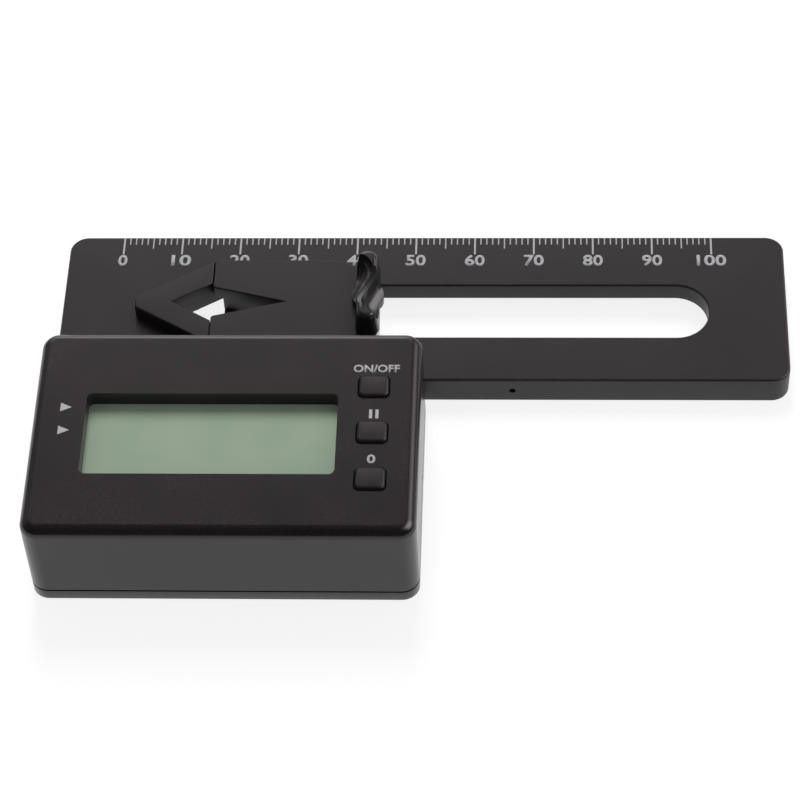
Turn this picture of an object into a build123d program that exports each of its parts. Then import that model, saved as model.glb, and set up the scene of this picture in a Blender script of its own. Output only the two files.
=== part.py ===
from build123d import *
import os
from math import cos, radians, sin, tan

# Digital pitch gauge for rotor blades.
# The blade passes down through the slot, between a fixed V jaw and a sliding V jaw.
# Frame: X runs along the scale, Y to the back, Z up, z = 0 on the table.
# The origin is the middle of the footprint.

# Scale plate
plate_length = 121.4
plate_width = 31.1
plate_thick = 5.6
plate_corner = 3.0
plate_edge = 0.35
plate_pinhole_radius = 0.55
plate_pinhole_depth = 2.0
plate_pinhole_inset = 75.8

# Slot in the plate, and the wider groove beneath it
slot_width = 11.0
slot_inset = 16.35
slot_end_margin = 12.95
slot_edge = 0.3
slot_lip = 3.3
groove_width = 15.4
groove_corner = 3.0
groove_beyond = 1.5

# Fixed jaw, a raised chevron
jaw_apex_inset = 18.75
jaw_half_angle = 31.0
jaw_reach = 6.6
jaw_heel = 6.2
jaw_tip_width = 2.2
jaw_height = 2.5
jaw_overhang = 1.2
jaw_edge = 0.2
jaw_screw_back = 3.7
jaw_screw_length = 4.6

# Small screws, all of one pattern
screw_radius = 0.85
screw_fit = 0.04
screw_head_radius = 1.5
screw_head_height = 0.9
pan_head_height = 1.2

# Sliding jaw
slider_gap = 0.1
slider_length = 28.05
slider_width = 18.2
slider_corner = 0.6
slider_lift = 0.05
notch_depth = 12.0
notch_half_angle = 14.3
tongue_front = 1.5
tongue_end = 0.2
tongue_side_gap = 0.1
tongue_short = 0.3
tongue_corner = 1.4
lower_notch_relief = 0.8

# Clamp plate in the groove
clamp_side_gap = 0.2
clamp_floor_gap = 0.3
clamp_slot_width = 3.0

# Wing knob and its stud
stud_radius = 1.1
stud_from_end = 1.85
stud_run_gap = 0.06
stud_in_knob = 1.2
knob_length = 15.4
knob_width = 4.1
knob_draft = 5.0
knob_height = 4.75
knob_lean = 1.0
knob_dip = 0.8
knob_dip_length = 9.0
knob_seat_gap = 0.05
knob_hub_radius = 2.7
knob_hub_height = 1.9
knob_edge = 0.9
scoop_radius = 3.3
scoop_length = 5.4
scoop_angle = 24.0
scoop_out = 2.4
scoop_along = 3.4
scoop_down = 0.2

# Display case
case_length = 61.5
case_depth = 39.9
case_height = 18.45
case_corner = 2.8
case_round = 1.75
case_wall = 1.8
case_ceiling = 1.8
case_pinhole_radius = 0.5
case_pinhole_depth = 0.9
case_pinhole_inset = 19.4
case_pinhole_height = 5.0

# Case base
base_thick = 2.4
base_edge = 0.4
parting_height = 0.35
parting_depth = 0.35
lip_height = 1.2
lip_thick = 1.0
lip_gap = 0.1

# Case bosses and their screws
boss_inset = 4.6
boss_radius = 2.1
boss_screw_length = 8.0
screw_sink = 0.15

# Screws that hold the case to the plate
link_screw_inset = 10.0
link_screw_height = 4.05
link_screw_length = 6.6

# Display
window_corner = 1.0
window_left = 8.45
window_back = 12.8
window_front = 11.3
window_depth = 2.85
window_rib = 1.1
glass_margin = 2.2
glass_thick = 2.2
glass_to_switches = 0.4
connector_width = 1.6
connector_height = 2.4
connector_short = 5.0

# Keys and their switches
key_length = 4.8
key_width = 4.05
key_corner = 0.8
key_edge = 0.4
key_proud = 0.6
key_gap = 0.2
key_from_right = 7.45
key_from_back = 11.5
key_from_front = 10.3
key_flange = 0.6
key_flange_thick = 1.0
key_free_play = 0.1
key_travel = 0.3
switch_side = 6.0
plunger_radius = 1.7
plunger_out = 0.7
plunger_in = 0.8
plunger_gap = 0.1

# Circuit board
board_thick = 1.6
board_gap = 0.6
board_notch_gap = 0.5
post_radius = 1.6
post_left = 12.0
post_right = 16.0
post_inset = 4.8
board_screw_length = 5.0
chip_side = 8.0
chip_thick = 1.2
sensor_side = 4.0
sensor_thick = 1.3
crystal_radius = 1.0
crystal_length = 6.0

# Coin cell, its contacts and its cover
cell_radius = 10.0
cell_thick = 3.2
cell_gap = 0.25
cell_left = 24.0
cell_float = 0.1
well_wall = 1.2
well_above = 0.8
cover_radius = 11.0
cover_recess = 0.2
cover_thick = 1.8
cover_gap = 0.2
cover_slot_width = 1.6
cover_slot_length = 14.0
cover_slot_depth = 0.9
lug_reach = 1.2
lug_angle = 24.0
lug_entry_angle = 28.0
ledge_thick = 0.95
lug_thick = 0.8
lug_gap = 0.1
contact_thick = 0.25
contact_width = 4.0
contact_pad = 3.0
contact_slot_gap = 0.4

# Places worked out from the sizes above
plate_left = -plate_length / 2
plate_back = (plate_width + case_depth) / 2
plate_front = plate_back - plate_width
plate_top = plate_thick
slot_y = plate_back - slot_inset
slot_end = plate_left + plate_length - slot_end_margin
groove_depth = plate_thick - slot_lip
jaw_slope = tan(radians(jaw_half_angle))
jaw_apex = plate_left + jaw_apex_inset
jaw_ends = jaw_apex + jaw_reach
slot_tip = jaw_apex - jaw_overhang
groove_left = slot_tip - groove_beyond
groove_right = slot_end + groove_beyond
jaw_screw_x = jaw_ends - jaw_screw_back
jaw_arm_inner = (jaw_screw_x - jaw_apex) * jaw_slope
jaw_arm_outer = jaw_tip_width / 2 + (jaw_screw_x - jaw_apex + jaw_heel) * jaw_slope
jaw_screw_y = (jaw_arm_inner + jaw_arm_outer) / 2

slider_left = jaw_ends + slider_gap
slider_right = slider_left + slider_length
slider_top = plate_top + jaw_height
tongue_left = slider_left + tongue_front
tongue_right = slider_right - tongue_end
tongue_bottom = groove_depth + tongue_short
tongue_width = slot_width - 2 * tongue_side_gap
stud_x = slider_right - stud_from_end
knob_seat = slider_top + knob_seat_gap

case_left = plate_left
case_right = case_left + case_length
case_back = plate_front
case_front = case_back - case_depth
case_x = (case_left + case_right) / 2
case_y = (case_front + case_back) / 2
ceiling_z = case_height - case_ceiling
key_x = case_right - key_from_right
key_pitch = (case_depth - key_from_back - key_from_front) / 2
key_ys = [case_back - key_from_back - i * key_pitch for i in range(3)]
window_start = case_left + window_left
window_end = key_x - switch_side / 2 - glass_to_switches - glass_margin
window_length = window_end - window_start
window_width = case_depth - window_back - window_front
window_x = (window_start + window_end) / 2
window_y = case_back - window_back - window_width / 2
glass_top = case_height - window_depth
glass_bottom = glass_top - glass_thick
board_top = glass_bottom - connector_height
board_bottom = board_top - board_thick
key_top = case_height + key_proud
flange_top = ceiling_z - key_free_play
flange_bottom = flange_top - key_flange_thick
switch_top = flange_bottom - plunger_out
cell_x = case_left + cell_left
cell_y = case_y
cover_top = cover_recess + cover_thick
cell_bottom = cover_top + cell_float
cell_top = cell_bottom + cell_thick
well_radius = cell_radius + cell_gap
opening_radius = cover_radius + cover_gap
recess_radius = cover_radius + lug_reach + cover_gap
lug_bottom = ledge_thick + lug_gap
recess_top = cover_top + lug_gap
boss_places = [
    (case_x + sx * (case_length / 2 - boss_inset), case_y + sy * (case_depth / 2 - boss_inset))
    for sx in (-1, 1) for sy in (-1, 1)
]
post_places = [
    (case_left + post_left, case_front + post_inset),
    (case_right - post_right, case_back - post_inset),
]
link_xs = [case_left + link_screw_inset, case_right - link_screw_inset]
jaw_screw_places = [(jaw_screw_x, slot_y + side * jaw_screw_y) for side in (-1, 1)]


def block(x0, x1, y0, y1, z0, z1):
    return Pos((x0 + x1) / 2, (y0 + y1) / 2, (z0 + z1) / 2) * Box(x1 - x0, y1 - y0, z1 - z0)


def rod(x, y, z0, z1, radius):
    return Pos(x, y, (z0 + z1) / 2) * Cylinder(radius, z1 - z0)


def slab(x0, x1, y0, y1, z0, z1, corner):
    outline = RectangleRounded(x1 - x0, y1 - y0, corner)
    return Pos((x0 + x1) / 2, (y0 + y1) / 2, z0) * extrude(outline, z1 - z0)


def prism(points, z0, z1):
    return Pos(0, 0, z0) * extrude(Polygon(*points, align=None), z1 - z0)


def sunk_screw(length):
    # Flat head down at z = 0, thread up
    head = Pos(0, 0, screw_head_height / 2) * Cone(screw_head_radius, screw_radius, screw_head_height)
    return head + rod(0, 0, screw_head_height, length, screw_radius)


def sunk_hole(length, sink):
    # The room for a sunk screw; sink is how far its head lies below the surface
    wide = screw_head_radius + screw_fit
    narrow = screw_radius + screw_fit
    mouth_radius = wide + sink * (wide - narrow) / screw_head_height
    mouth = Pos(0, 0, (screw_head_height - sink) / 2) * Cone(
        mouth_radius, narrow, screw_head_height + sink)
    return mouth + rod(0, 0, 0, length + screw_fit, narrow)


def pan_screw(length):
    # Head from z = 0 down, thread up
    return rod(0, 0, -pan_head_height, 0, screw_head_radius) + rod(0, 0, 0, length, screw_radius)


def slot_outline():
    # Pointed at the fixed jaw, round at the far end
    half = slot_width / 2
    shoulder = slot_tip + half / jaw_slope
    centre = slot_end - half
    tip = (slot_tip, slot_y)
    back = (shoulder, slot_y + half)
    front = (shoulder, slot_y - half)
    edges = Curve() + [
        Line(tip, back),
        Line(back, (centre, slot_y + half)),
        ThreePointArc((centre, slot_y + half), (slot_end, slot_y), (centre, slot_y - half)),
        Line((centre, slot_y - half), front),
        Line(front, tip),
    ]
    return make_face(edges)


def scale_plate():
    plate = slab(plate_left, -plate_left, plate_front, plate_back, 0, plate_top, plate_corner)
    plate -= extrude(slot_outline(), plate_top)
    rim = plate.edges().group_by(Axis.Z)[-1]
    slot_rim = rim.filter_by(lambda e: abs(e.center().Y - slot_y) < slot_width / 2 + slot_edge
                             and slot_tip < e.center().X < slot_end + slot_edge)
    plate = chamfer(slot_rim, slot_edge)
    outer = plate.edges().group_by(Axis.Z)[-1].filter_by(
        lambda e: e.center().Y > slot_y + slot_width or e.center().Y < slot_y - slot_width
        or e.center().X < slot_tip or e.center().X > slot_end + 2 * slot_edge)
    plate = chamfer(outer, plate_edge)
    plate = chamfer(plate.edges().group_by(Axis.Z)[0].filter_by(
        lambda e: e.center().Y > slot_y + slot_width or e.center().Y < slot_y - slot_width
        or e.center().X < slot_tip or e.center().X > slot_end + 2 * slot_edge), plate_edge)
    plate -= slab(groove_left, groove_right, slot_y - groove_width / 2, slot_y + groove_width / 2,
                  0, groove_depth, groove_corner)
    for x, y in jaw_screw_places:
        plate -= Pos(x, y, groove_depth) * sunk_hole(slot_lip, 0)
    for x in link_xs:
        depth = link_screw_length - case_wall + screw_fit
        plate -= Pos(x, plate_front, link_screw_height) * Rot(-90, 0, 0) * rod(
            0, 0, 0, depth, screw_radius + screw_fit)
    plate -= Pos(plate_left + plate_pinhole_inset, plate_front, plate_thick / 2) * Rot(
        -90, 0, 0) * rod(0, 0, 0, plate_pinhole_depth, plate_pinhole_radius)
    return plate


def fixed_jaw():
    half_tip = jaw_tip_width / 2
    tip = jaw_apex - jaw_heel
    outer = half_tip + (jaw_heel + jaw_reach) * jaw_slope
    inner = jaw_reach * jaw_slope
    jaw = prism([
        (tip, slot_y + half_tip), (tip, slot_y - half_tip),
        (jaw_ends, slot_y - outer), (jaw_ends, slot_y - inner),
        (jaw_apex, slot_y),
        (jaw_ends, slot_y + inner), (jaw_ends, slot_y + outer),
    ], plate_top, slider_top)
    jaw = chamfer(jaw.edges().group_by(Axis.Z)[-1], jaw_edge)
    for x, y in jaw_screw_places:
        jaw -= rod(x, y, plate_top, groove_depth + jaw_screw_length + screw_fit,
                   screw_radius + screw_fit)
    return jaw


def fixed_jaw_screws():
    return Compound(children=[Pos(x, y, groove_depth) * sunk_screw(jaw_screw_length)
                              for x, y in jaw_screw_places])


def notch(relief, z0, z1):
    # The V that takes the trailing edge; relief opens it up below the working edge
    apex = slider_left + notch_depth + relief
    mouth = slider_left - relief
    half = (apex - mouth) * tan(radians(notch_half_angle))
    return prism([(apex, slot_y), (mouth, slot_y + half), (mouth, slot_y - half)], z0, z1)


def round_ended(x0, x1, half, z0, z1):
    # Square at x0, a half circle at x1
    return block(x0, x1 - half, slot_y - half, slot_y + half, z0, z1) + rod(
        x1 - half, slot_y, z0, z1, half)


def sliding_jaw():
    top = round_ended(slider_left, slider_right, slider_width / 2, plate_top + slider_lift, slider_top)
    top -= notch(0, plate_top, slider_top)
    top = fillet(top.edges().filter_by(Axis.Z).group_by(Axis.X)[0], slider_corner)
    top = chamfer(top.edges().group_by(Axis.Z)[-1], jaw_edge)
    half = tongue_width / 2
    centre = tongue_right - half
    tongue = prism([
        (centre, slot_y + half), (tongue_left + tongue_corner, slot_y + half),
        (tongue_left, slot_y + half - tongue_corner), (tongue_left, slot_y - half + tongue_corner),
        (tongue_left + tongue_corner, slot_y - half), (centre, slot_y - half),
    ], tongue_bottom, plate_top + slider_lift)
    tongue += rod(centre, slot_y, tongue_bottom, plate_top + slider_lift, half)
    tongue -= notch(lower_notch_relief, tongue_bottom, plate_top + slider_lift)
    return top + tongue - rod(stud_x, slot_y, tongue_bottom, slider_top, stud_radius + stud_run_gap)


def clamp_plate():
    half = groove_width / 2 - clamp_side_gap
    bottom = clamp_floor_gap
    top = groove_depth - slider_lift
    plate = round_ended(tongue_left, tongue_right, half, bottom, top)
    plate = fillet(plate.edges().filter_by(Axis.Z).group_by(Axis.X)[0], groove_corner)
    slot_half = clamp_slot_width / 2
    apex = slider_left + notch_depth
    plate -= block(tongue_left, apex, slot_y - slot_half, slot_y + slot_half, bottom, top)
    plate -= rod(apex, slot_y, bottom, top, slot_half)
    return plate - rod(stud_x, slot_y, bottom, top, stud_radius + stud_run_gap)


def clamp_stud():
    stud = rod(stud_x, slot_y, clamp_floor_gap, knob_seat + stud_in_knob, stud_radius)
    return chamfer(stud.edges().group_by(Axis.Z)[0], stud_radius / 4)


def thumb_scoop():
    # A lying capsule: closed at the wing's end, it runs out through the flank near the middle
    edges = Curve() + [
        CenterArc((0, -scoop_length), scoop_radius, -90, 90),
        Line((scoop_radius, -scoop_length), (scoop_radius, 0)),
        CenterArc((0, 0), scoop_radius, 0, 90),
        Line((0, scoop_radius), (0, -scoop_length - scoop_radius)),
    ]
    capsule = Rot(0, 0, -scoop_angle) * revolve(make_face(edges), Axis.Y)
    return Pos(-scoop_out, scoop_along, knob_height - scoop_down) * capsule


def wing_knob():
    # An S in plan: two scoops leave a thin slanting rib, a little lower over the hub
    outline = SlotOverall(knob_length, knob_width, rotation=90)
    body = extrude(outline, knob_height, taper=knob_draft)
    body = fillet(body.edges().group_by(Axis.Z)[-1], knob_edge)
    half = knob_dip_length / 2
    dip_radius = (half * half + knob_dip * knob_dip) / (2 * knob_dip)
    dip = Rot(0, 90, 0) * Cylinder(dip_radius, knob_length)
    body -= Pos(0, 0, knob_height - knob_dip + dip_radius) * dip
    body += rod(0, 0, 0, knob_hub_height, knob_hub_radius)
    for turn in (0, 180):
        body -= Rot(0, 0, turn) * thumb_scoop()
    body -= rod(0, 0, 0, stud_in_knob, stud_radius)
    return Pos(stud_x, slot_y, knob_seat) * Rot(0, 0, knob_lean) * body


def window_cut():
    return slab(window_x - window_length / 2, window_x + window_length / 2,
                window_y - window_width / 2, window_y + window_width / 2,
                glass_top, case_height, window_corner)


def key_hole(y):
    length = key_length + 2 * key_gap
    width = key_width + 2 * key_gap
    return slab(key_x - length / 2, key_x + length / 2, y - width / 2, y + width / 2,
                ceiling_z, case_height, key_corner + key_gap)


def case_top():
    floor = base_thick
    shell = slab(case_left, case_right, case_front, case_back, floor, case_height, case_corner)
    shell = fillet(shell.edges().group_by(Axis.Z)[-1], case_round)
    shell -= slab(case_left + case_wall, case_right - case_wall, case_front + case_wall,
                  case_back - case_wall, floor, ceiling_z, case_corner - case_wall)
    groove = slab(case_left, case_right, case_front, case_back, floor, floor + parting_height,
                  case_corner)
    groove -= slab(case_left + parting_depth, case_right - parting_depth,
                   case_front + parting_depth, case_back - parting_depth, floor,
                   floor + parting_height, case_corner - parting_depth)
    shell -= groove
    shell += slab(window_x - window_length / 2 - window_rib, window_x + window_length / 2 + window_rib,
                  window_y - window_width / 2 - window_rib, window_y + window_width / 2 + window_rib,
                  glass_top, ceiling_z, window_corner + window_rib)
    shell -= window_cut()
    for y in key_ys:
        shell -= key_hole(y)
    for x, y in boss_places:
        shell += rod(x, y, floor, ceiling_z, boss_radius)
        shell -= rod(x, y, floor, screw_sink + boss_screw_length + screw_fit,
                     screw_radius + screw_fit)
    for x, y in post_places:
        shell += rod(x, y, board_top, ceiling_z, post_radius)
        shell -= rod(x, y, board_top, board_bottom + board_screw_length + screw_fit,
                     screw_radius + screw_fit)
    for x in link_xs:
        shell -= Pos(x, case_back - case_wall, link_screw_height) * Rot(-90, 0, 0) * rod(
            0, 0, 0, case_wall, screw_radius + screw_fit)
    shell -= Pos(case_right, case_back - case_pinhole_inset, case_pinhole_height) * Rot(
        0, -90, 0) * rod(0, 0, 0, case_pinhole_depth, case_pinhole_radius)
    return shell


def case_base():
    base = slab(case_left, case_right, case_front, case_back, 0, base_thick, case_corner)
    base = chamfer(base.edges().group_by(Axis.Z)[0], base_edge)
    out = case_wall + lip_gap
    inside = out + lip_thick
    lip = slab(case_left + out, case_right - out, case_front + out, case_back - out,
               base_thick, base_thick + lip_height, case_corner - case_wall)
    lip -= slab(case_left + inside, case_right - inside, case_front + inside, case_back - inside,
                base_thick, base_thick + lip_height, (case_corner - case_wall) / 2)
    for x, y in boss_places:
        lip -= rod(x, y, base_thick, base_thick + lip_height, boss_radius + lip_gap)
    head = screw_head_radius + screw_fit + lip_gap
    for x in link_xs:
        lip -= block(x - head, x + head, case_back - inside - lip_gap, case_back - out + lip_gap,
                     base_thick, base_thick + lip_height)
    base += lip
    well_top = cell_top + well_above
    base += rod(cell_x, cell_y, base_thick, well_top, recess_radius + well_wall)
    base -= rod(cell_x, cell_y, 0, ledge_thick, opening_radius)
    base -= rod(cell_x, cell_y, ledge_thick, recess_top, recess_radius)
    base -= rod(cell_x, cell_y, recess_top, well_top, well_radius)
    base -= lug_sectors(recess_radius, cover_radius - lug_reach, 90.0, lug_entry_angle, 0,
                        ledge_thick)
    clip_half = contact_width / 2 + contact_slot_gap
    base -= block(cell_x + cell_radius - contact_thick, cell_x + recess_radius + well_wall,
                  cell_y - clip_half, cell_y + clip_half, base_thick, well_top)
    for x, y in boss_places:
        base -= Pos(x, y, screw_sink) * sunk_hole(boss_screw_length, screw_sink)
    return base


def lug_sectors(outer, inner, start, spread, z0, z1):
    # Two opposite ring sectors, for the cover's lugs and for the openings that let them in
    sectors = Part()
    for turn in (start, start + 180):
        left = radians(turn - spread / 2)
        right = radians(turn + spread / 2)
        far = 2 * outer
        wedge = prism([(0, 0), (far * cos(left), far * sin(left)), (far * cos(right), far * sin(right))],
                      z0, z1)
        sectors += wedge & (rod(0, 0, z0, z1, outer) - rod(0, 0, z0, z1, inner))
    return Pos(cell_x, cell_y, 0) * sectors


def battery_cover():
    cover = rod(cell_x, cell_y, cover_recess, cover_top, cover_radius)
    cover += lug_sectors(cover_radius + lug_reach, cover_radius - lug_reach, 0.0, lug_angle,
                         lug_bottom, lug_bottom + lug_thick)
    half = cover_slot_length / 2 - cover_slot_width / 2
    slot = block(cell_x - half, cell_x + half, cell_y - cover_slot_width / 2,
                 cell_y + cover_slot_width / 2, cover_recess, cover_recess + cover_slot_depth)
    for side in (-1, 1):
        slot += rod(cell_x + side * half, cell_y, cover_recess, cover_recess + cover_slot_depth,
                    cover_slot_width / 2)
    return cover - slot


def coin_cell():
    cell = rod(cell_x, cell_y, cell_bottom, cell_top, cell_radius)
    return chamfer(cell.edges().group_by(Axis.Z)[-1], cell_thick / 6)


def battery_spring():
    # Negative leaf: soldered to the board, bent down to the middle of the cell
    top = board_bottom
    low = cell_top
    reach = cell_radius / 2
    t = contact_thick
    points = [
        (-reach - contact_pad, top), (-reach, top), (reach / 2, low + t), (reach, low + 3 * t),
        (reach, low + 2 * t), (reach / 2, low), (-reach, top - t), (-reach - contact_pad, top - t),
    ]
    face = Plane.XZ * Polygon(*points, align=None)
    return Pos(cell_x, cell_y + contact_width / 2, 0) * extrude(face, contact_width)


def battery_clip():
    # Positive clip: stands beside the cell and turns over onto the board
    inner = cell_x + cell_radius + cell_gap / 4
    outer = inner + contact_thick
    low = cell_bottom + cell_thick / 4
    half = contact_width / 2
    leg = block(inner, outer, cell_y - half, cell_y + half, low, board_bottom)
    return leg + block(outer, outer + contact_pad, cell_y - half, cell_y + half,
                       board_bottom - contact_thick, board_bottom)


def case_screws():
    return Compound(children=[Pos(x, y, screw_sink) * sunk_screw(boss_screw_length)
                              for x, y in boss_places])


def plate_screws():
    return Compound(children=[
        Pos(x, case_back - case_wall, link_screw_height) * Rot(-90, 0, 0) * pan_screw(
            link_screw_length)
        for x in link_xs])


def board_screws():
    return Compound(children=[Pos(x, y, board_bottom) * pan_screw(board_screw_length)
                              for x, y in post_places])


def circuit_board():
    edge = case_wall + board_gap
    board = block(case_left + edge, case_right - edge, case_front + edge, case_back - edge,
                  board_bottom, board_top)
    notch_side = boss_radius + board_notch_gap
    for x, y in boss_places:
        sx = 1 if x > case_x else -1
        sy = 1 if y > case_y else -1
        corner_x = case_x + sx * case_length / 2
        corner_y = case_y + sy * case_depth / 2
        board -= block(min(x - sx * notch_side, corner_x), max(x - sx * notch_side, corner_x),
                       min(y - sy * notch_side, corner_y), max(y - sy * notch_side, corner_y),
                       board_bottom, board_top)
    for x, y in post_places:
        board -= rod(x, y, board_bottom, board_top, screw_radius + screw_fit)
    return board


def lcd_panel():
    # Two glass plates; the lower one stands out at the back for its contacts
    half_x = window_length / 2 + glass_margin
    half_y = window_width / 2 + glass_margin
    middle = (glass_top + glass_bottom) / 2
    lower = block(window_x - half_x, window_x + half_x, window_y - half_y, window_y + half_y,
                  glass_bottom, middle)
    upper = block(window_x - half_x, window_x + half_x, window_y - half_y,
                  window_y + half_y - connector_width / 2, middle, glass_top)
    return lower + upper


def lcd_connectors():
    half_x = (window_length - connector_short) / 2
    out = window_width / 2 + glass_margin - connector_width
    strips = []
    for side in (-1, 1):
        y = window_y + side * (out + connector_width / 2)
        strips.append(block(window_x - half_x, window_x + half_x, y - connector_width / 2,
                            y + connector_width / 2, board_top, glass_bottom))
    return Compound(children=strips)


def controller_chip():
    half = chip_side / 2
    return block(window_x - half, window_x + half, window_y - half, window_y + half,
                 board_top, board_top + chip_thick)


def tilt_sensor():
    half = sensor_side / 2
    x = window_x - chip_side - sensor_side
    return block(x - half, x + half, window_y - half, window_y + half,
                 board_top, board_top + sensor_thick)


def clock_crystal():
    x = window_x + chip_side + crystal_radius
    can = Pos(x, window_y, board_top + crystal_radius) * Rot(90, 0, 0) * Cylinder(
        crystal_radius, crystal_length)
    half = crystal_radius / 2
    pad = block(x - half, x + half, window_y - crystal_length / 2, window_y + crystal_length / 2,
                board_top, board_top + crystal_radius)
    return can + pad


def key_switches():
    bodies = []
    half = switch_side / 2
    for y in key_ys:
        body = block(key_x - half, key_x + half, y - half, y + half, board_top, switch_top)
        body -= rod(key_x, y, switch_top - plunger_in - key_travel - plunger_gap, switch_top,
                    plunger_radius + plunger_gap)
        bodies.append(body)
    return Compound(children=bodies)


def key_cap(y):
    cap = slab(key_x - key_length / 2, key_x + key_length / 2, y - key_width / 2, y + key_width / 2,
               flange_top, key_top, key_corner)
    cap = chamfer(cap.edges().group_by(Axis.Z)[-1], key_edge)
    half_x = key_length / 2 + key_flange
    half_y = key_width / 2 + key_flange
    return cap + block(key_x - half_x, key_x + half_x, y - half_y, y + half_y, flange_bottom,
                       flange_top)


def plunger(y):
    return rod(key_x, y, switch_top - plunger_in, flange_bottom, plunger_radius)


pieces = {
    "scale_plate": scale_plate(),
    "fixed_jaw": fixed_jaw(),
    "fixed_jaw_screws": fixed_jaw_screws(),
    "sliding_jaw": sliding_jaw(),
    "clamp_plate": clamp_plate(),
    "clamp_stud": clamp_stud(),
    "wing_knob": wing_knob(),
    "case_top": case_top(),
    "case_base": case_base(),
    "case_screws": case_screws(),
    "plate_screws": plate_screws(),
    "lcd_panel": lcd_panel(),
    "lcd_connectors": lcd_connectors(),
    "circuit_board": circuit_board(),
    "board_screws": board_screws(),
    "controller_chip": controller_chip(),
    "tilt_sensor": tilt_sensor(),
    "clock_crystal": clock_crystal(),
    "key_switches": key_switches(),
    "battery_cover": battery_cover(),
    "coin_cell": coin_cell(),
    "battery_spring": battery_spring(),
    "battery_clip": battery_clip(),
}
for name, y in zip(("on_off", "hold", "zero"), key_ys):
    pieces["key_" + name] = key_cap(y)
    pieces["plunger_" + name] = plunger(y)

os.makedirs("parts", exist_ok=True)
for node, shape in pieces.items():
    export_step(shape, "parts/" + node + ".step")
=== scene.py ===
from math import cos, radians

import bmesh
import bpy
from mathutils import Matrix, Vector


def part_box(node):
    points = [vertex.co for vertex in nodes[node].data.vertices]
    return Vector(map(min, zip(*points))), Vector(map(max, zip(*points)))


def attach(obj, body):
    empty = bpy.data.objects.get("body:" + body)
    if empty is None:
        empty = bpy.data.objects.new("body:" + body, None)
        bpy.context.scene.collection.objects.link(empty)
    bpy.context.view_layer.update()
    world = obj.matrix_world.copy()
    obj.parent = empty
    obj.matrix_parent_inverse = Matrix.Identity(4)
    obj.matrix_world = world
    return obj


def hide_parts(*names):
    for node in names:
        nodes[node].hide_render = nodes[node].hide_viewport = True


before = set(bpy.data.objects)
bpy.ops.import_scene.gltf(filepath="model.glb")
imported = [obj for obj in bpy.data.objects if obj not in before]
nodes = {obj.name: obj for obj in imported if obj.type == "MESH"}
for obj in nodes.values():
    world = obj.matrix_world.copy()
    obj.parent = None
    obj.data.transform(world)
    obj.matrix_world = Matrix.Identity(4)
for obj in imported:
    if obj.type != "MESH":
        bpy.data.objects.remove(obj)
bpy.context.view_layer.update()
mm = 0.001


# Scale plate. The long flat plate with the slot, one moulding in black plastic with a fine
# spark-eroded grain, its outer edge and the slot's mouth broken by small chamfers. The solid is
# welded and its chamfers are shaded round, as the polished edges of a tool are.
weld_distance = 2e-7
same_plane = 0.99998
no_area = 1e-12


def linked(name, data):
    piece = bpy.data.objects.new(name, data)
    bpy.context.scene.collection.objects.link(piece)
    return piece


def merged(node):
    form = bmesh.new()
    form.from_mesh(nodes[node].data)
    bmesh.ops.remove_doubles(form, verts=form.verts, dist=weld_distance)
    return form


def faces_from(start, crosses):
    found, waiting = {start: True}, [start]
    while waiting:
        one = waiting.pop()
        for edge in one.edges:
            for other in edge.link_faces:
                if other not in found and crosses(edge, one, other):
                    found[other] = True
                    waiting.append(other)
    return list(found)


# Each corner's normal is the mean of the flat faces round it, weighted by their whole areas, so
# that wide faces stay flat and the narrow chamfers between them turn smoothly.
def welded(node, name, finish, crease=52.0):
    form = merged(node)
    flat_of = {}
    flat_weights = []
    for face in form.faces:
        if face in flat_of:
            continue
        flat = faces_from(face, lambda edge, one, other: (
            other not in flat_of and other.normal.dot(one.normal) > same_plane))
        flat_of.update((part, len(flat_weights)) for part in flat)
        flat_weights.append(face.normal * sum(part.calc_area() for part in flat))
    limit = cos(radians(crease))
    normals = []
    for face in form.faces:
        for loop in face.loops:
            fan = faces_from(face, lambda edge, one, other: (
                loop.vert in edge.verts and other.normal.dot(one.normal) > limit))
            total = Vector()
            for number in {flat_of[part] for part in fan}:
                total += flat_weights[number]
            normals.append(tuple(total.normalized() if total.length > no_area else face.normal))
    mesh = bpy.data.meshes.new(name)
    form.to_mesh(mesh)
    form.free()
    mesh.polygons.foreach_set("use_smooth", [True] * len(mesh.polygons))
    mesh.normals_split_custom_set(normals)
    mesh.materials.append(finish)
    return linked(name, mesh)


def fitted(tree, kind, inputs, **settings):
    node = tree.nodes.new(kind)
    for setting, value in settings.items():
        setattr(node, setting, value)
    for socket, value in inputs.items():
        if isinstance(value, bpy.types.NodeSocket):
            tree.links.new(value, node.inputs[socket])
        else:
            node.inputs[socket].default_value = value
    return node


def reckoned(tree, operation, *terms):
    return fitted(tree, "ShaderNodeMath", dict(enumerate(terms)), operation=operation).outputs[0]


def fresh_finish(name):
    finish = bpy.data.materials.new(name)
    finish.use_nodes = True
    return finish, finish.node_tree, finish.node_tree.nodes["Principled BSDF"]


def own_place(tree):
    return tree.nodes.new("ShaderNodeTexCoord").outputs["Object"]


def noise(tree, place, scale, detail, roughness=0.5):
    return fitted(tree, "ShaderNodeTexNoise", {
        "Vector": place, "Scale": scale, "Detail": detail, "Roughness": roughness}).outputs["Fac"]


def coloured(tree, shader, factor, low, dark, high, light):
    ramp = fitted(tree, "ShaderNodeValToRGB", {"Fac": factor})
    for stop, position, colour in zip(ramp.color_ramp.elements, (low, high), (dark, light)):
        stop.position = position
        stop.color = (*colour, 1)
    tree.links.new(ramp.outputs["Color"], shader.inputs["Base Color"])


def roughened(tree, shader, factor, low, high, roughness, spread):
    ramp = fitted(tree, "ShaderNodeMapRange", {
        "Value": factor, "From Min": low, "From Max": high,
        "To Min": roughness - spread, "To Max": roughness + spread})
    tree.links.new(ramp.outputs["Result"], shader.inputs["Roughness"])


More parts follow.
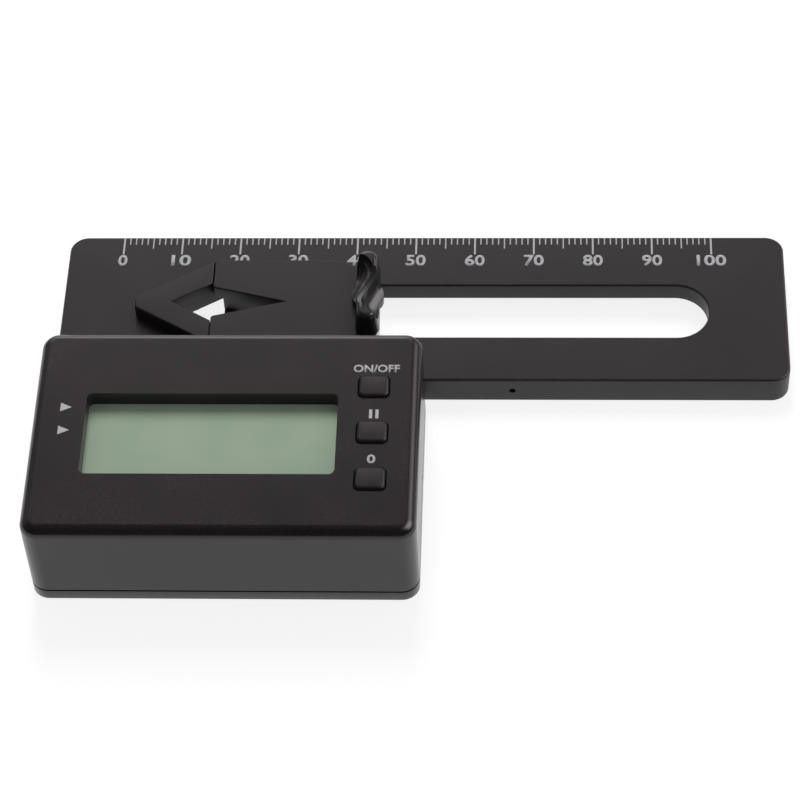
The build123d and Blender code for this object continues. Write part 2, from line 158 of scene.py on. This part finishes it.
def bumped(tree, shader, height, depth_mm):
    bump = fitted(tree, "ShaderNodeBump", {"Height": height, "Distance": depth_mm * mm})
    tree.links.new(bump.outputs["Normal"], shader.inputs["Normal"])


def moulded_plastic(name, dark, light, roughness, grain_mm, grain_depth_mm):
    cloud_scale = 90.0
    grain_share = 0.55
    finish, tree, shader = fresh_finish(name)
    shader.inputs["IOR"].default_value = 1.5
    place = own_place(tree)
    grain = noise(tree, place, 1 / (grain_mm * mm), detail=3.0, roughness=0.6)
    cloud = noise(tree, place, cloud_scale, detail=4.0)
    shade = reckoned(tree, "MULTIPLY_ADD", grain, grain_share,
                     reckoned(tree, "MULTIPLY", cloud, 1 - grain_share))
    coloured(tree, shader, shade, 0.36, dark, 0.64, light)
    roughened(tree, shader, cloud, low=0.3, high=0.7, roughness=roughness, spread=0.02)
    bumped(tree, shader, grain, grain_depth_mm)
    return finish


plate_finish = moulded_plastic("plate_plastic", (0.0100, 0.0078, 0.0091), (0.0160, 0.0128, 0.0148),
                               roughness=0.44, grain_mm=0.22, grain_depth_mm=0.012)
plate = welded("scale_plate", "slotted_plate", plate_finish)
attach(plate, "gauge")
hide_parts("scale_plate")


# Printed scale. Fine lines every millimetre from 0 to 100 along the back edge, longer at every
# fifth and longest at every tenth, pad printed in pale grey ink that stands just proud.
scale_zero = -51.46
scale_end = 100
line_inset = 0.4
ink_thickness = 0.03
line_sizes = {"Pitch": 1.0, "Width": 0.2, "Tenth width": 0.3, "Each": 1.38, "Fifth": 2.26,
              "Tenth": 3.55, "Ink": ink_thickness}
plate_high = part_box("scale_plate")[1]
ink, ink_tree, ink_shader = fresh_finish("pale_ink")
ink_shader.inputs["Roughness"].default_value = 0.6
ink_speck = noise(ink_tree, own_place(ink_tree), scale=9000.0, detail=2.0)
coloured(ink_tree, ink_shader, ink_speck, 0.35, (0.36, 0.37, 0.38), 0.6, (0.54, 0.55, 0.56))


def sized_tree(name, size_names):
    tree = bpy.data.node_groups.new(name, "GeometryNodeTree")
    for way in ("INPUT", "OUTPUT"):
        tree.interface.new_socket("Geometry", in_out=way, socket_type="NodeSocketGeometry")
    sockets = {}
    for size_name in size_names:
        sockets[size_name] = tree.interface.new_socket(
            size_name, in_out="INPUT", socket_type="NodeSocketFloat")
    return tree, sockets, tree.nodes.new("NodeGroupInput").outputs


def repeated(tree, points, shape, scale, finish):
    spread = fitted(tree, "GeometryNodeInstanceOnPoints", {
        "Points": points, "Instance": shape, "Scale": scale})
    real = fitted(tree, "GeometryNodeRealizeInstances", {"Geometry": spread.outputs["Instances"]})
    coat = fitted(tree, "GeometryNodeSetMaterial", {
        "Geometry": real.outputs["Geometry"], "Material": finish})
    fitted(tree, "NodeGroupOutput", {"Geometry": coat.outputs["Geometry"]})


def grown(name, tree, sockets, sizes, place=Matrix(), points=(), unit=mm):
    holder = linked(name + "_maker", bpy.data.meshes.new(name + "_maker"))
    holder.data.from_pydata(points, [], [])
    maker = holder.modifiers.new("maker", "NODES")
    maker.node_group = tree
    for size_name, size in sizes.items():
        maker[sockets[size_name].identifier] = size * unit
    bpy.context.view_layer.update()
    mesh = bpy.data.meshes.new_from_object(holder.evaluated_get(bpy.context.evaluated_depsgraph_get()))
    holder.modifiers.remove(maker)
    bpy.data.objects.remove(holder)
    mesh.name = name
    mesh.transform(place)
    return linked(name, mesh)


ticks, tick_sockets, tick_given = sized_tree("scale_ticks", line_sizes)
tick_number = ticks.nodes.new("GeometryNodeInputIndex").outputs[0]


def every(count):
    return reckoned(ticks, "LESS_THAN", reckoned(ticks, "MODULO", tick_number, count), 0.5)


def choose(factor, plain, marked):
    return fitted(ticks, "ShaderNodeMix", {"Factor": factor, 2: plain, 3: marked}).outputs[0]


tenth = every(10)
tick_length = choose(tenth, choose(every(5), tick_given["Each"], tick_given["Fifth"]), tick_given["Tenth"])
tick_width = choose(tenth, tick_given["Width"], tick_given["Tenth width"])
tick_extent = fitted(ticks, "ShaderNodeCombineXYZ", {
    "X": tick_width, "Y": tick_length, "Z": tick_given["Ink"]})
tick_step = fitted(ticks, "ShaderNodeCombineXYZ", {"X": tick_given["Pitch"]})
tick_row = fitted(ticks, "GeometryNodeMeshLine", {"Count": scale_end + 1, "Offset": tick_step.outputs[0]})
tick_bar = ticks.nodes.new("GeometryNodeMeshCube")
tick_hung = fitted(ticks, "GeometryNodeTransform", {
    "Geometry": tick_bar.outputs["Mesh"], "Translation": (0, -0.5, 0)})
repeated(ticks, tick_row.outputs["Mesh"], tick_hung.outputs["Geometry"], tick_extent.outputs[0], ink)
scale_lines = grown("scale_lines", ticks, tick_sockets, line_sizes, Matrix.Translation(
    (scale_zero * mm, plate_high.y - line_inset * mm, plate_high.z)))
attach(scale_lines, "gauge")


# Printed numbers. Plain figures from 0 to 100 under every tenth line, in the same pale ink. Each
# is flat lettering, stretched to its measured size and given the thickness of the ink.
letter_size = 0.01
letter_weld = 1e-7
stroke_swell = 0.00026
figure_drop = 5.3
figure_height = 2.45
figure_widths = {1: 1.6, 2: 3.4, 3: 5.0}


def printed(name, marks, face_z):
    whole = bmesh.new()
    for words, centre, size in marks:
        letters = bpy.data.curves.new(name, "FONT")
        letters.body = words
        letters.size = letter_size
        letters.resolution_u = 3
        letters.offset = stroke_swell
        holder = linked(name, letters)
        bpy.context.view_layer.update()
        flat = bpy.data.meshes.new_from_object(holder.evaluated_get(bpy.context.evaluated_depsgraph_get()))
        bpy.data.objects.remove(holder)
        low = [min(vert.co[axis] for vert in flat.vertices) for axis in (0, 1)]
        high = [max(vert.co[axis] for vert in flat.vertices) for axis in (0, 1)]
        stretch = [size[axis] * mm / (high[axis] - low[axis]) for axis in (0, 1)]
        flat.transform(Matrix.Translation((centre[0] * mm, centre[1] * mm, face_z))
                       @ Matrix.Diagonal((*stretch, 1, 1))
                       @ Matrix.Translation((-(low[0] + high[0]) / 2, -(low[1] + high[1]) / 2, 0)))
        form = bmesh.new()
        form.from_mesh(flat)
        bmesh.ops.remove_doubles(form, verts=form.verts, dist=letter_weld)
        raised = bmesh.ops.extrude_face_region(form, geom=form.faces[:])
        upper = {vert for vert in raised["geom"] if isinstance(vert, bmesh.types.BMVert)}
        lower = set(form.verts) - upper
        for verts, lift in ((upper, ink_thickness * mm / 2), (lower, -ink_thickness * mm / 2)):
            bmesh.ops.translate(form, vec=(0, 0, lift), verts=list(verts))
        bmesh.ops.recalc_face_normals(form, faces=form.faces)
        form.to_mesh(flat)
        form.free()
        whole.from_mesh(flat)
        bpy.data.meshes.remove(flat)
    mesh = bpy.data.meshes.new(name)
    whole.to_mesh(mesh)
    whole.free()
    mesh.materials.append(ink)
    return linked(name, mesh)


scale_figures = printed("scale_figures", [
    (str(value), (scale_zero + value, plate_high.y / mm - figure_drop),
     (figure_widths[len(str(value))], figure_height))
    for value in range(0, scale_end + 1, 10)], plate_high.z)
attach(scale_figures, "gauge")


# Fixed jaw. The raised chevron that takes the blade's leading edge, a separate moulding in the
# plate's plastic, held from below by two small countersunk screws.
jaw = welded("fixed_jaw", "chevron_jaw", plate_finish)
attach(jaw, "gauge")
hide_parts("fixed_jaw")


# Sliding jaw. The block with the long V notch that slides along the slot on a tongue, moulded in
# the same black plastic. The blade's trailing edge goes into its notch.
slider = welded("sliding_jaw", "notched_slider", plate_finish)
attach(slider, "slider")
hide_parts("sliding_jaw")


# Clamp plate. Flat steel plate in the groove under the slot, drawn up by the knob's stud so that
# the slider grips the plate. Its face is ground, with fine scratches along it.
def worked_metal(name, dark, light, roughness, stretch):
    scratch_scale = 1500.0
    scratch_depth_mm = 0.004
    finish, tree, shader = fresh_finish(name)
    shader.inputs["Metallic"].default_value = 1.0
    drawn_out = fitted(tree, "ShaderNodeMapping", {"Vector": own_place(tree), "Scale": stretch})
    scratch = noise(tree, drawn_out.outputs["Vector"], scratch_scale, detail=5.0)
    coloured(tree, shader, scratch, 0.3, dark, 0.7, light)
    roughened(tree, shader, scratch, low=0.0, high=1.0, roughness=roughness, spread=0.08)
    bumped(tree, shader, scratch, scratch_depth_mm)
    return finish


ground_steel = worked_metal("ground_steel", (0.40, 0.40, 0.41), (0.60, 0.60, 0.61),
                            roughness=0.38, stretch=(0.06, 1.0, 1.0))
clamp = welded("clamp_plate", "steel_clamp", ground_steel)
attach(clamp, "slider")
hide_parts("clamp_plate")


# Stud. Turned steel pin that is moulded into the knob and screws into the clamp plate. Fine marks
# run along it.
turned_steel = worked_metal("turned_steel", (0.42, 0.42, 0.43), (0.62, 0.62, 0.63),
                            roughness=0.3, stretch=(1.0, 1.0, 0.05))
stud = welded("clamp_stud", "knob_stud", turned_steel)
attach(stud, "knob")
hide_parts("clamp_stud")


# Wing knob. Satin black moulding that turns the stud: a wing with a thumb scoop on each side,
# so that the rib between them runs in an S from end to end.
knob_finish = moulded_plastic("knob_plastic", (0.010, 0.010, 0.011), (0.016, 0.016, 0.018),
                              roughness=0.26, grain_mm=0.5, grain_depth_mm=0.004)
knob = welded("wing_knob", "scooped_knob", knob_finish, crease=40.0)
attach(knob, "knob")
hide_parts("wing_knob")


# Case base. Shallow moulded tray under the case, with the round battery opening and a lip that
# fits inside the upper moulding.
case_finish = moulded_plastic("case_plastic", (0.0125, 0.0095, 0.0108), (0.0185, 0.0142, 0.0160),
                              roughness=0.25, grain_mm=0.3, grain_depth_mm=0.006)
tray = welded("case_base", "case_tray", case_finish)
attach(tray, "gauge")
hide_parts("case_base")


# Battery cover. Round moulded disc with two lugs and a coin slot, in the case's black plastic. It
# is turned a quarter and then lifts out of the tray.
cover = welded("battery_cover", "coin_cover", case_finish)
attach(cover, "cover")
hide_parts("battery_cover")


# Coin cell, crystal can and the two contacts. Bought-in metal parts inside the case: bright
# rolled steel for the cell and the can, plated brass strip for the contacts.
def coated(finish, *inner_nodes):
    for node in inner_nodes:
        nodes[node].data.materials.clear()
        nodes[node].data.materials.append(finish)


bright_steel = worked_metal("bright_steel", (0.55, 0.55, 0.56), (0.70, 0.70, 0.71),
                            roughness=0.25, stretch=(1.0, 1.0, 0.2))
plated_brass = worked_metal("plated_brass", (0.60, 0.48, 0.22), (0.78, 0.66, 0.36),
                            roughness=0.28, stretch=(0.3, 1.0, 1.0))
coated(bright_steel, "coin_cell", "clock_crystal")
coated(plated_brass, "battery_spring", "battery_clip")


# Circuit board and what is soldered on it. Green solder mask over glass laminate, black moulded
# chips, the moulded housings and plungers of the three key switches, and the display's two soft
# strips of connector rubber.
board_finish = moulded_plastic("solder_mask", (0.012, 0.10, 0.045), (0.025, 0.16, 0.07),
                               roughness=0.3, grain_mm=1.2, grain_depth_mm=0.006)
chip_finish = moulded_plastic("chip_plastic", (0.014, 0.014, 0.014), (0.024, 0.024, 0.025),
                              roughness=0.55, grain_mm=0.15, grain_depth_mm=0.006)
switch_finish = moulded_plastic("switch_plastic", (0.03, 0.03, 0.03), (0.05, 0.05, 0.05),
                                roughness=0.4, grain_mm=0.3, grain_depth_mm=0.004)
rubber_finish = moulded_plastic("connector_rubber", (0.20, 0.20, 0.21), (0.34, 0.34, 0.35),
                                roughness=0.7, grain_mm=0.1, grain_depth_mm=0.01)
coated(board_finish, "circuit_board")
coated(chip_finish, "controller_chip", "tilt_sensor")
coated(switch_finish, "key_switches", "plunger_on_off", "plunger_hold", "plunger_zero")
coated(rubber_finish, "lcd_connectors")


# Display. Two sheets of glass with pale grey-green film behind them, blank while it is off. The
# film's tone is a little uneven.
lcd_finish, lcd_tree, lcd_shader = fresh_finish("display_film")
lcd_shader.inputs["Roughness"].default_value = 0.3
lcd_shader.inputs["Specular IOR Level"].default_value = 0.35
lcd_cloud = noise(lcd_tree, own_place(lcd_tree), scale=120.0, detail=3.0)
coloured(lcd_tree, lcd_shader, lcd_cloud, 0.3, (0.31, 0.40, 0.30), 0.7, (0.34, 0.43, 0.32))
coated(lcd_finish, "lcd_panel")


# Case top. The upper moulding with rounded top edges, the window and the three key holes, in
# smoother black plastic than the plate.
case = welded("case_top", "case_shell", case_finish)
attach(case, "gauge")
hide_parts("case_top")


# Keys. Three moulded caps with softly rounded tops, each on its own switch. Their plastic is as
# black as the case's and a little duller, with the fine grain of a key cap.
key_finish = moulded_plastic("key_plastic", (0.0115, 0.0090, 0.0102), (0.0175, 0.0135, 0.0152),
                             roughness=0.48, grain_mm=0.16, grain_depth_mm=0.008)
for key_name in ("on_off", "hold", "zero"):
    cap = welded("key_" + key_name, "cap_" + key_name, key_finish)
    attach(cap, "button_" + key_name)
    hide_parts("key_" + key_name)


# Key and mode marks. Generic marks in pale ink on the case top: ON/OFF, two bars for hold, a 0
# for zero, and two small triangles where the mode is shown.
case_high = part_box("case_top")[1]
on_off_place, on_off_size = (-6.34, -3.33), (7.4, 1.55)
zero_place, zero_size = (-6.6, -21.25), (1.35, 1.75)
bar_xs = (-7.0, -6.0)
bar_half_width = 0.25
bar_top, bar_foot = -11.55, -13.3
arrow_ys = (-11.2, -15.75)
arrow_half_height = 0.85
arrow_left, arrow_tip = -56.3, -54.5
key_marks = printed("key_marks", [
    ("ON/OFF", on_off_place, on_off_size), ("0", zero_place, zero_size)], case_high.z)
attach(key_marks, "gauge")

signs = []
for x in bar_xs:
    left, right = x - bar_half_width, x + bar_half_width
    signs.append([(left, bar_top), (right, bar_top), (right, bar_foot), (left, bar_foot)])
for y in arrow_ys:
    signs.append([(arrow_left, y + arrow_half_height), (arrow_tip, y), (arrow_left, y - arrow_half_height)])
sign_form = bmesh.new()
for corners in signs:
    lower, upper = ([sign_form.verts.new((x * mm, y * mm, case_high.z + lift * mm)) for x, y in corners]
                    for lift in (-ink_thickness / 2, ink_thickness / 2))
    sign_form.faces.new(upper)
    sign_form.faces.new(lower[::-1])
    for here in range(len(corners)):
        after = (here + 1) % len(corners)
        sign_form.faces.new((lower[here], lower[after], upper[after], upper[here]))
bmesh.ops.recalc_face_normals(sign_form, faces=sign_form.faces)
sign_mesh = bpy.data.meshes.new("mode_marks")
sign_form.to_mesh(sign_mesh)
sign_form.free()
sign_mesh.materials.append(ink)
mode_marks = linked("mode_marks", sign_mesh)
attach(mode_marks, "gauge")


# Screws. Small blackened steel screws with a cross recess: four countersunk ones close the case
# from below, two hold the fixed jaw, and two with flat heads carry the board. The two that hold
# the plate lie hidden inside the case.
head_radius = 1.5
shank_radius = 0.85
sunk_head = {"Neck radius": 0.87, "Head height": 0.9}
flat_head = {"Neck radius": head_radius, "Head height": 1.2}
cross_sizes = {"Cross length": 1.7, "Cross width": 0.36, "Cross height": 1.1}
second_cut_share = 0.94
black_steel = worked_metal("black_steel", (0.10, 0.10, 0.11), (0.18, 0.18, 0.19),
                           roughness=0.35, stretch=(1.0, 1.0, 0.3))
screw_tree, screw_sockets, screw_given = sized_tree("cross_screw", (
    "Head radius", "Neck radius", "Head height", "Shank radius", "Shank start", "Shank length",
    *cross_sizes))


def turned(low_radius, top_radius, height):
    return fitted(screw_tree, "GeometryNodeMeshCone", {
        "Vertices": 48, "Radius Bottom": screw_given[low_radius],
        "Radius Top": screw_given[top_radius], "Depth": screw_given[height]}).outputs["Mesh"]


def cutter(length, width, share):
    reach = reckoned(screw_tree, "MULTIPLY", screw_given["Cross height"], share)
    extent = fitted(screw_tree, "ShaderNodeCombineXYZ", {
        "X": screw_given[length], "Y": screw_given[width], "Z": reach})
    return fitted(screw_tree, "GeometryNodeMeshCube", {"Size": extent.outputs[0]}).outputs["Mesh"]


# The middle of the lowest end of each screw in a node.
def feet(node):
    form = merged(node)
    left, spots = set(form.verts), []
    while left:
        waiting, group = [left.pop()], []
        while waiting:
            vert = waiting.pop()
            group.append(vert.co)
            for edge in vert.link_edges:
                other = edge.other_vert(vert)
                if other in left:
                    left.remove(other)
                    waiting.append(other)
        low = [min(co[axis] for co in group) for axis in range(3)]
        high = [max(co[axis] for co in group) for axis in range(3)]
        spots.append(((low[0] + high[0]) / 2, (low[1] + high[1]) / 2, low[2]))
    form.free()
    return sorted(spots)


# One cut of the cross is a little shallower than the other, so that none of their faces coincide.
# The tree works in millimetres, which Mesh Boolean needs, and its screws are scaled to metres.
shank_place = fitted(screw_tree, "ShaderNodeCombineXYZ", {"Z": screw_given["Shank start"]})
shank = fitted(screw_tree, "GeometryNodeTransform", {
    "Geometry": turned("Shank radius", "Shank radius", "Shank length"),
    "Translation": shank_place.outputs[0]})
blank = fitted(screw_tree, "GeometryNodeMeshBoolean", {}, operation="UNION")
for solid in (turned("Head radius", "Neck radius", "Head height"), shank.outputs["Geometry"]):
    screw_tree.links.new(solid, blank.inputs["Mesh 2"])
crossed = fitted(screw_tree, "GeometryNodeMeshBoolean", {"Mesh 1": blank.outputs["Mesh"]},
                 operation="DIFFERENCE")
for solid in (cutter("Cross length", "Cross width", 1.0),
              cutter("Cross width", "Cross length", second_cut_share)):
    screw_tree.links.new(solid, crossed.inputs["Mesh 2"])
repeated(screw_tree, screw_given["Geometry"], crossed.outputs["Mesh"], (mm, mm, mm), black_steel)
for inner, name, head in (("case_screws", "case_cross_screws", sunk_head),
                          ("fixed_jaw_screws", "jaw_cross_screws", sunk_head),
                          ("board_screws", "board_cross_screws", flat_head)):
    screw_low, screw_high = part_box(inner)
    whole_length = (screw_high.z - screw_low.z) / mm
    shank_start = head["Head height"] / 2
    screws = grown(name, screw_tree, screw_sockets, {
        "Head radius": head_radius, **head, "Shank radius": shank_radius, "Shank start": shank_start,
        "Shank length": whole_length - shank_start, **cross_sizes}, points=feet(inner), unit=1.0)
    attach(screws, "gauge")
    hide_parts(inner)
coated(black_steel, "plate_screws")


# Table. A wide pale floor that the gauge lies on. To the camera, and mirrored in the gauge or seen
# through it, the floor shows white, and it keeps the gauge's soft shadow.
floor_half = 4.0
floor_z = -0.05 * mm
floor_lift = 0.84
floor_finish, floor_tree, floor_shader = fresh_finish("pale_table")
floor_shader.inputs["Base Color"].default_value = (0.25, 0.25, 0.25, 1)
floor_shader.inputs["Roughness"].default_value = 0.9
floor_shader.inputs["Specular IOR Level"].default_value = 0.1
floor_path = floor_tree.nodes.new("ShaderNodeLightPath").outputs
floor_seen = reckoned(floor_tree, "MAXIMUM", floor_path["Is Camera Ray"], floor_path["Is Glossy Ray"])
floor_seen = reckoned(floor_tree, "MAXIMUM", floor_seen, floor_path["Is Transmission Ray"])
floor_glow = fitted(floor_tree, "ShaderNodeEmission", {
    "Strength": reckoned(floor_tree, "MULTIPLY", floor_seen, floor_lift)})
floor_sum = fitted(floor_tree, "ShaderNodeAddShader", {
    0: floor_shader.outputs["BSDF"], 1: floor_glow.outputs["Emission"]})
floor_tree.links.new(floor_sum.outputs[0], floor_tree.nodes["Material Output"].inputs["Surface"])
floor_mesh = bpy.data.meshes.new("table")
floor_mesh.from_pydata([
    (x * floor_half, y * floor_half, floor_z) for x, y in ((-1, -1), (1, -1), (1, 1), (-1, 1))],
    [], [(0, 1, 2, 3)])
floor_mesh.materials.append(floor_finish)
table = linked("table", floor_mesh)


# Studio. One soft lamp high at the back throws the shadows forward, and an even pale room fills
# the rest. Mirrored in the plastic, the room is bright half way up at the back and on the right,
# and dark overhead, low down and to the left.
lamp_place = Vector((-0.07, 0.55, 0.71))
lamp_light = bpy.data.lights.new("key_lamp", "AREA")
lamp_light.shape = "RECTANGLE"
lamp_light.size = 0.25
lamp_light.size_y = 0.45
lamp_light.energy = 5.2
key_lamp = linked("key_lamp", lamp_light)
lamp_turn = (-lamp_place).to_track_quat("-Z", "Y").to_matrix().to_4x4()
key_lamp.matrix_world = Matrix.Translation(lamp_place) @ lamp_turn
key_lamp.visible_glossy = False

room = bpy.data.worlds.new("room")
bpy.context.scene.world = room
room.use_nodes = True
room_tree = room.node_tree
room_place = room_tree.nodes.new("ShaderNodeTexCoord")
room_axes = fitted(room_tree, "ShaderNodeSeparateXYZ", {0: room_place.outputs["Generated"]})


def fade(course, low, high, at_low, at_high):
    return fitted(room_tree, "ShaderNodeMapRange", {
        "Value": course, "From Min": low, "From Max": high, "To Min": at_low, "To Max": at_high},
        interpolation_type="SMOOTHSTEP").outputs["Result"]


def bright_wall(wall, *courses):
    for course in courses:
        wall = reckoned(room_tree, "MULTIPLY", wall, course)
    return wall


across, deep, up = (room_axes.outputs[axis] for axis in "XYZ")
back_wall = bright_wall(
    fade(up, 0.46, 0.87, 3.3, 0.05), fade(up, 0.08, 0.34, 0.1, 1.0), fade(deep, -0.15, 0.35, 0.02, 1.0),
    fade(across, -0.52, -0.15, 0.1, 1.0), fade(across, -0.1, 0.25, 1.0, 0.1))
right_wall = bright_wall(
    fade(across, 0.24, 0.60, 0.0, 4.8), fade(up, 0.30, 0.48, 0.02, 1.0),
    fade(deep, -0.4, 0.0, 0.0, 1.0), fade(deep, 0.42, 0.62, 1.0, 0.3))
mirrored = fitted(room_tree, "ShaderNodeBackground", {
    "Color": (1.04, 0.975, 1.005, 1), "Strength": reckoned(room_tree, "ADD", back_wall, right_wall)})
fill = room_tree.nodes["Background"]
fill.inputs["Color"].default_value = (1, 1, 1, 1)
fill.inputs["Strength"].default_value = 0.38
white = fitted(room_tree, "ShaderNodeBackground", {"Color": (1, 1, 1, 1)})
room_path = room_tree.nodes.new("ShaderNodeLightPath").outputs
room_glossy = reckoned(room_tree, "MAXIMUM", room_path["Is Glossy Ray"], room_path["Is Transmission Ray"])
room_lit = fitted(room_tree, "ShaderNodeMixShader", {
    "Fac": room_glossy, 1: fill.outputs[0], 2: mirrored.outputs[0]})
room_seen = fitted(room_tree, "ShaderNodeMixShader", {
    "Fac": room_path["Is Camera Ray"], 1: room_lit.outputs[0], 2: white.outputs[0]})
room_tree.links.new(room_seen.outputs[0], room_tree.nodes["World Output"].inputs["Surface"])


# Camera. Long lens from high in front, nearly upright, at the photograph's angle. Its place and
# turns are those that bring the scale's lines and the straight edges to where they are seen.
camera = bpy.data.cameras.new("camera")
camera.sensor_width = 36.0
camera.lens = 132.44
camera.clip_start = 0.01
camera.clip_end = 20.0
camera_place = Matrix.Translation((0.01978, -0.29333, 0.38642))
for degrees, axis in ((4.480, "Z"), (37.715, "X"), (-3.427, "Z")):
    camera_place = camera_place @ Matrix.Rotation(radians(degrees), 4, axis)
viewer = linked("camera", camera)
viewer.matrix_world = camera_place
bpy.context.scene.camera = viewer
bpy.context.scene.view_settings.view_transform = "Standard"
